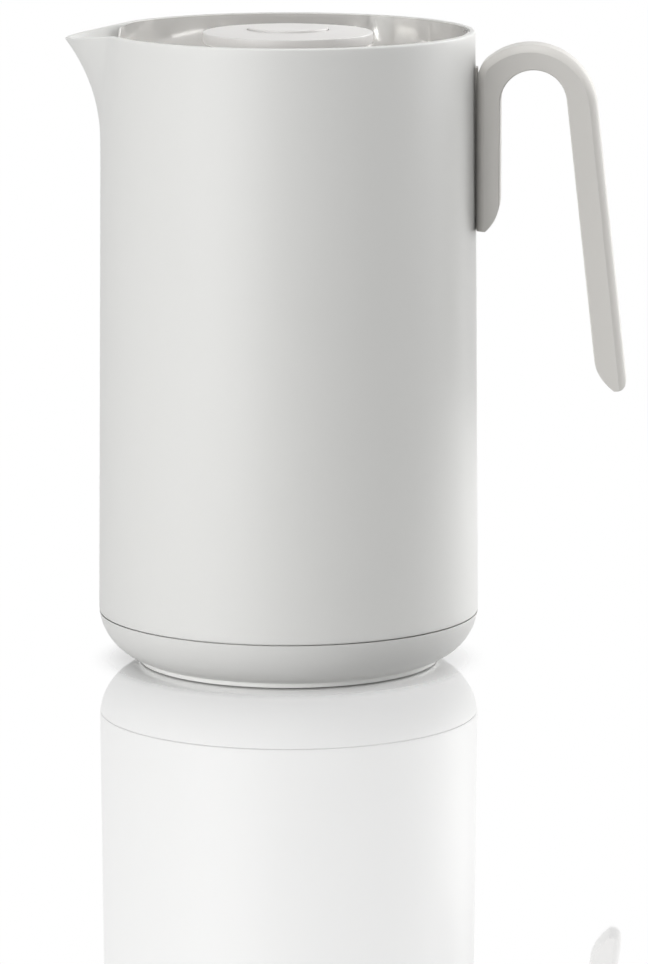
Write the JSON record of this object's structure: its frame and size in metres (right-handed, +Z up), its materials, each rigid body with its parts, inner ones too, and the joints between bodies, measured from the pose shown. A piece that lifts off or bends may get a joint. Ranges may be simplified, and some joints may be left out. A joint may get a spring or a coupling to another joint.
{
  "type": "thermal carafe",
  "caption": "Upright vacuum carafe with a tapered round body, a pulled spout, a hooked open handle and a recessed press-to-pour stopper.",
  "frame": {"origin": "middle of the foot on the surface that the carafe stands on", "axes": "+Z up along the body's axis, +X towards the handle, -X towards the spout"},
  "size_m": [0.2083, 0.1418, 0.2376],
  "materials": {
    "body_plastic": "fine satin",
    "gloss_liner": "polished",
    "silicone": "soft matte",
    "flask_glass": "silvered glass, bright",
    "flask_silver": "silvered glass",
    "foot_rubber": "matte",
    "handle_plastic": "fine satin",
    "lid_plastic": "fine satin",
    "steel": "stainless"
  },
  "bodies": {
    "carafe": {"outer_shell": "body_plastic", "pouring_collar": "gloss_liner", "neck_gasket": "silicone", "flask_inner_wall": "flask_glass", "flask_outer_wall": "flask_silver", "flask_cushion": "silicone", "base_cap": "body_plastic", "base_seal": "silicone", "foot_pad": "foot_rubber", "handle": "handle_plastic", "handle_saddle": "handle_plastic", "handle_backplate": "steel", "handle_screw_upper": "steel", "handle_screw_lower": "steel"},
    "lid_seal": {"stopper_gasket": "silicone"},
    "lid": {"stopper_body": "lid_plastic", "lid_cap": "lid_plastic", "button_spring": "steel"},
    "pour_valve": {"press_button": "lid_plastic", "valve_stem": "steel", "valve_plate": "lid_plastic", "valve_seal": "silicone", "valve_clip": "steel"}
  },
  "joints": [
    {"name": "lid_lift", "type": "slide", "parent": "carafe", "child": "lid_seal", "axis": [0, 0, 1], "range_m": [0, 0.065]},
    {"name": "lid_turn", "type": "hinge", "parent": "lid_seal", "child": "lid", "pos_m": [0, 0, 0.2118], "axis": [0, 0, 1], "range_deg": [0, 90]},
    {"name": "button_press", "type": "slide", "parent": "lid", "child": "pour_valve", "axis": [0, 0, -1], "range_m": [0, 0.0035], "stiffness_N_per_m": 600, "springref_m": -0.003, "deforming": ["button_spring"]}
  ]
}
